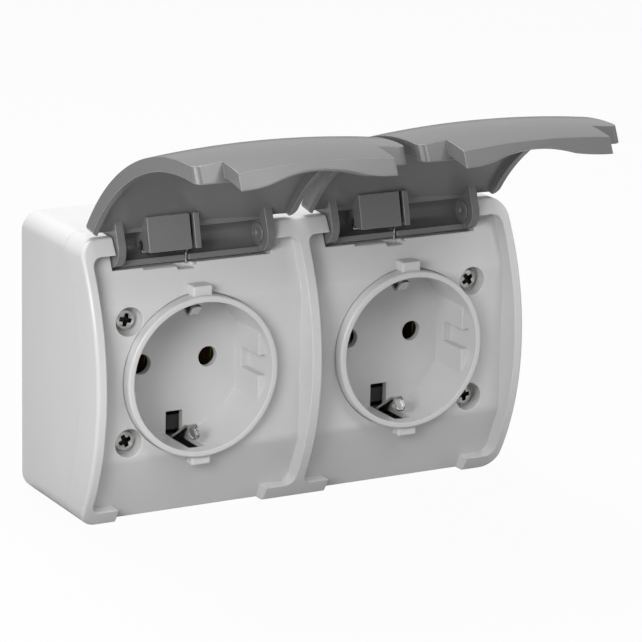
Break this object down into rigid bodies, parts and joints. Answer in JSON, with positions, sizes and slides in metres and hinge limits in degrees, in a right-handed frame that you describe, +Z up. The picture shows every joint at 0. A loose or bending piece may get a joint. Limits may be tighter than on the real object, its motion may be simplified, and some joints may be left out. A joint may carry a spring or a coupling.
{
  "type": "double wall socket",
  "caption": "Surface-mounted double earthed wall socket with two round recessed dishes, each behind a hinged lid.",
  "frame": {"origin": "centre of the housing's back face, which lies on the wall", "axes": "+X to the right along the pair of sockets, +Y into the wall, +Z up"},
  "size_m": [0.1234, 0.1012, 0.1061],
  "materials": {
    "housing_plastic": "satin light grey moulding",
    "lid_plastic": "satin mid grey moulding",
    "carrier_plastic": "black thermoset moulding",
    "contact_brass": "bare sheet",
    "nickelled_strip": "nickelled strip",
    "screw_steel": "zinc plated",
    "spring_steel": "bright drawn wire",
    "seal_rubber": "soft foam rubber",
    "grommet_rubber": "matt soft rubber"
  },
  "bodies": {
    "housing": {"base_box": "housing_plastic", "front_frame": "housing_plastic", "box_seal": "seal_rubber", "dish_left": "housing_plastic", "contact_carrier_left": "carrier_plastic", "line_contact_left": "contact_brass", "neutral_contact_left": "contact_brass", "earth_strap_left": "nickelled_strip", "terminal_screws_left": "screw_steel", "carrier_screws_left": "screw_steel", "cable_grommet_left": "grommet_rubber", "lid_spring_left": "spring_steel", "dish_right": "housing_plastic", "contact_carrier_right": "carrier_plastic", "line_contact_right": "contact_brass", "neutral_contact_right": "contact_brass", "earth_strap_right": "nickelled_strip", "terminal_screws_right": "screw_steel", "carrier_screws_right": "screw_steel", "cable_grommet_right": "grommet_rubber", "lid_spring_right": "spring_steel", "cover_screw_left_upper": "screw_steel", "cover_screw_left_lower": "screw_steel", "cover_screw_right_upper": "screw_steel", "cover_screw_right_lower": "screw_steel"},
    "lid_left": {"lid_left": "lid_plastic", "spring_pin_left": "spring_steel"},
    "lid_right": {"lid_right": "lid_plastic", "spring_pin_right": "spring_steel"}
  },
  "joints": [
    {"name": "lid_left_hinge", "type": "hinge", "parent": "housing", "child": "lid_left", "pos_m": [-0.0302, -0.03325, 0.034], "axis": [1, 0, 0], "range_deg": [0, 115.5], "deforming": ["lid_spring_left"]},
    {"name": "lid_right_hinge", "type": "hinge", "parent": "housing", "child": "lid_right", "pos_m": [0.0302, -0.03325, 0.034], "axis": [1, 0, 0], "range_deg": [0, 115.5], "deforming": ["lid_spring_right"]}
  ]
}
